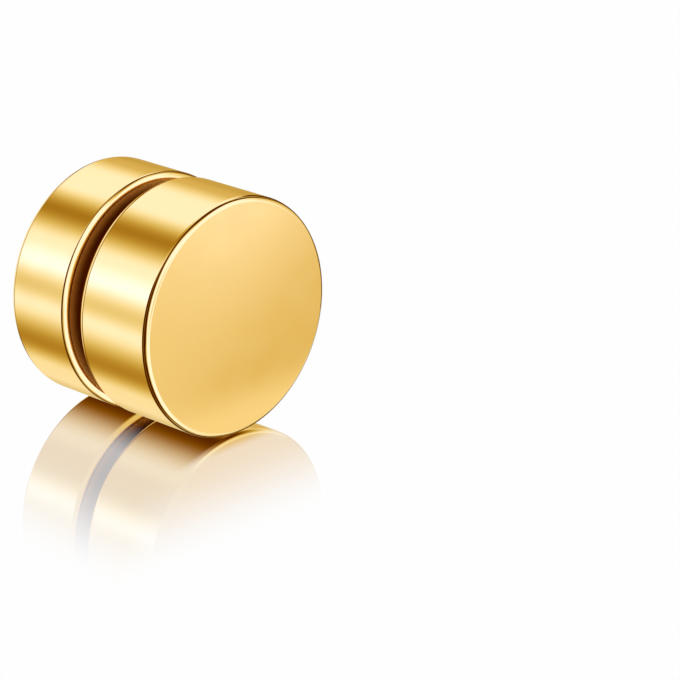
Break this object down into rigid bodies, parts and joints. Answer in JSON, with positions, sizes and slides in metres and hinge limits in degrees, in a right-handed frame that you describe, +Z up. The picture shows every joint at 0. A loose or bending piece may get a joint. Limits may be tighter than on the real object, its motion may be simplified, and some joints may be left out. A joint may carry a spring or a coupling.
{
  "type": "magnetic earring",
  "caption": "Drum-shaped magnetic stud earring: two gold caps with disc magnets inside clamp an earlobe with no piercing, and the back half pulls off along the axis.",
  "frame": {"origin": "on the surface that the earring lies on, straight below the axis and half way along the whole length", "axes": "+Z up, +Y along the axis of both halves from the front face to the back face, +X across"},
  "size_m": [0.01, 0.008, 0.01],
  "materials": {
    "front_gold": "gold plating on stainless steel: mirror-polished side and rims, satin outer face",
    "back_gold": "gold plating on stainless steel: mirror-polished side and rims, satin outer face",
    "magnet_nickel": "bright nickel plating"
  },
  "bodies": {
    "front": {"front_cap": "front_gold", "front_magnet": "magnet_nickel"},
    "back": {"back_cap": "back_gold", "back_magnet": "magnet_nickel"}
  },
  "joints": [
    {"name": "back_pull", "type": "slide", "parent": "front", "child": "back", "axis": [0, 1, 0], "range_m": [0, 0.008]}
  ]
}
